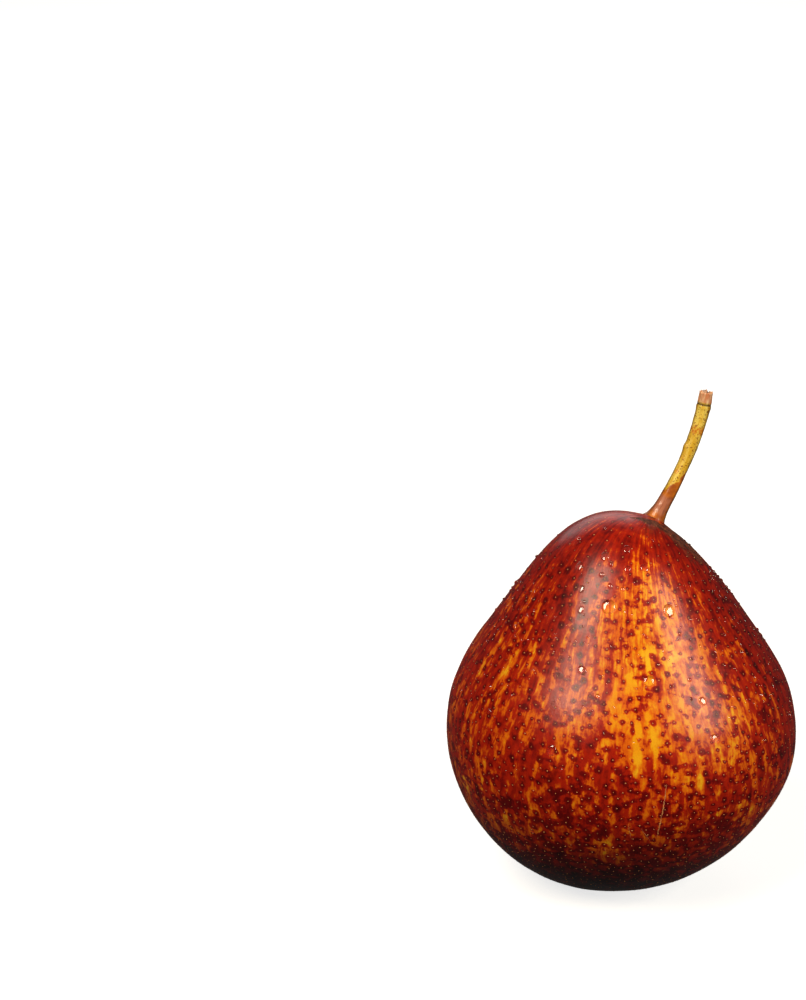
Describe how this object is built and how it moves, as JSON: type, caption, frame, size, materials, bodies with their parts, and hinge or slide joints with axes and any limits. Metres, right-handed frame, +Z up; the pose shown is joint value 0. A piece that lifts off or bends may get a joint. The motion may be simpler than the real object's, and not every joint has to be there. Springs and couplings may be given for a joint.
{
  "type": "pear",
  "caption": "Small blushed pear with a leaning stem, standing upright on the flat ring round its calyx.",
  "frame": {"origin": "the middle of the whole pear's box in X and Y, on the plane that it rests on", "axes": "+Z up along the fruit's axis, from the calyx to the stem; the stem leans towards +X and a little towards +Y"},
  "size_m": [0.0662, 0.0658, 0.093],
  "materials": {
    "skin": "satin",
    "stem_bark": "satin",
    "dried_sepal": "matte",
    "dried_stamens": "matte",
    "water": "gloss"
  },
  "bodies": {
    "root": {"fruit": "skin", "stem": "stem_bark", "sepal_1": "dried_sepal", "sepal_2": "dried_sepal", "sepal_3": "dried_sepal", "sepal_4": "dried_sepal", "sepal_5": "dried_sepal", "stamen_tuft": "dried_stamens"}
  },
  "joints": []
}
